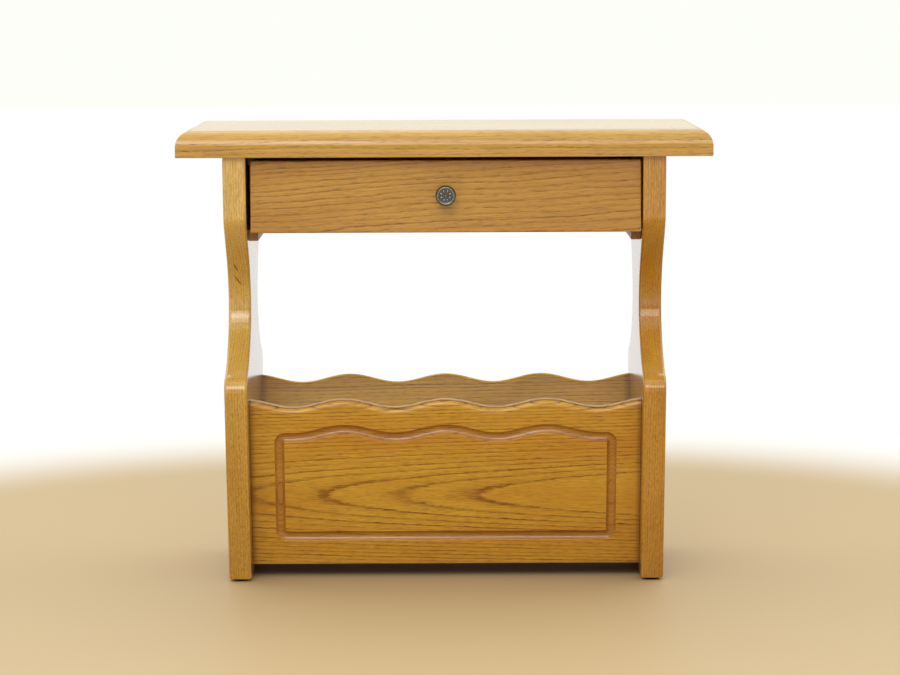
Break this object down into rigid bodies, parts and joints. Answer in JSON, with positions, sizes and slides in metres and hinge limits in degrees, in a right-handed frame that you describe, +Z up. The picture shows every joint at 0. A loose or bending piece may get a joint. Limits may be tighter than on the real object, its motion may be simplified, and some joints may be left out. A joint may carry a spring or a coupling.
{
  "type": "side table with drawer",
  "caption": "Side table with a moulded top, a shallow drawer on runners, waisted side panels and a V-shaped magazine rack with scalloped, grooved panels below.",
  "frame": {"origin": "on the floor at the middle of the whole table's bounding box", "axes": "+Z up, +X to the right across the width, the drawer opens towards -Y"},
  "size_m": [0.58, 0.3108, 0.5],
  "materials": {
    "oak_case": "gloss",
    "oak_rack": "gloss",
    "oak_drawer_front": "gloss",
    "oak_inner": "satin",
    "drawer_box": "satin",
    "dowel": "matt",
    "screw_steel": "satin",
    "knob_pewter": "antique",
    "glide": "matt"
  },
  "bodies": {
    "frame": {"back_rail": "oak_inner", "cleat_side_screw_back_left": "screw_steel", "cleat_side_screw_back_right": "screw_steel", "cleat_side_screw_front_left": "screw_steel", "cleat_side_screw_front_right": "screw_steel", "cleat_top_screw_back_left": "screw_steel", "cleat_top_screw_back_right": "screw_steel", "cleat_top_screw_front_left": "screw_steel", "cleat_top_screw_front_right": "screw_steel", "drawer_runner_left": "oak_inner", "drawer_runner_right": "oak_inner", "drawer_stop_left": "oak_inner", "drawer_stop_right": "oak_inner", "foot_glide_back_left": "glide", "foot_glide_back_right": "glide", "foot_glide_front_left": "glide", "foot_glide_front_right": "glide", "rack_back_dowel_lower_left": "dowel", "rack_back_dowel_lower_right": "dowel", "rack_back_dowel_upper_left": "dowel", "rack_back_dowel_upper_right": "dowel", "rack_back_panel": "oak_rack", "rack_board_dowel_left": "dowel", "rack_board_dowel_right": "dowel", "rack_bottom_board": "oak_rack", "rack_front_dowel_lower_left": "dowel", "rack_front_dowel_lower_right": "dowel", "rack_front_dowel_upper_left": "dowel", "rack_front_dowel_upper_right": "dowel", "rack_front_panel": "oak_rack", "rail_dowel_lower_left": "dowel", "rail_dowel_lower_right": "dowel", "rail_dowel_upper_left": "dowel", "rail_dowel_upper_right": "dowel", "runner_screw_back_left": "screw_steel", "runner_screw_back_right": "screw_steel", "runner_screw_front_left": "screw_steel", "runner_screw_front_right": "screw_steel", "side_panel_left": "oak_case", "side_panel_right": "oak_case", "table_top": "oak_case", "top_cleat_left": "oak_inner", "top_cleat_right": "oak_inner"},
    "drawer": {"drawer_back": "drawer_box", "drawer_back_pin_lower_left": "screw_steel", "drawer_back_pin_lower_right": "screw_steel", "drawer_back_pin_upper_left": "screw_steel", "drawer_back_pin_upper_right": "screw_steel", "drawer_bottom": "drawer_box", "drawer_front": "oak_drawer_front", "drawer_front_dowel_lower_left": "dowel", "drawer_front_dowel_lower_right": "dowel", "drawer_front_dowel_upper_left": "dowel", "drawer_front_dowel_upper_right": "dowel", "drawer_knob": "knob_pewter", "drawer_side_left": "drawer_box", "drawer_side_right": "drawer_box", "knob_screw": "screw_steel"}
  },
  "joints": [
    {"name": "drawer_slide", "type": "slide", "parent": "frame", "child": "drawer", "axis": [0, -1, 0], "range_m": [0, 0.15]}
  ]
}
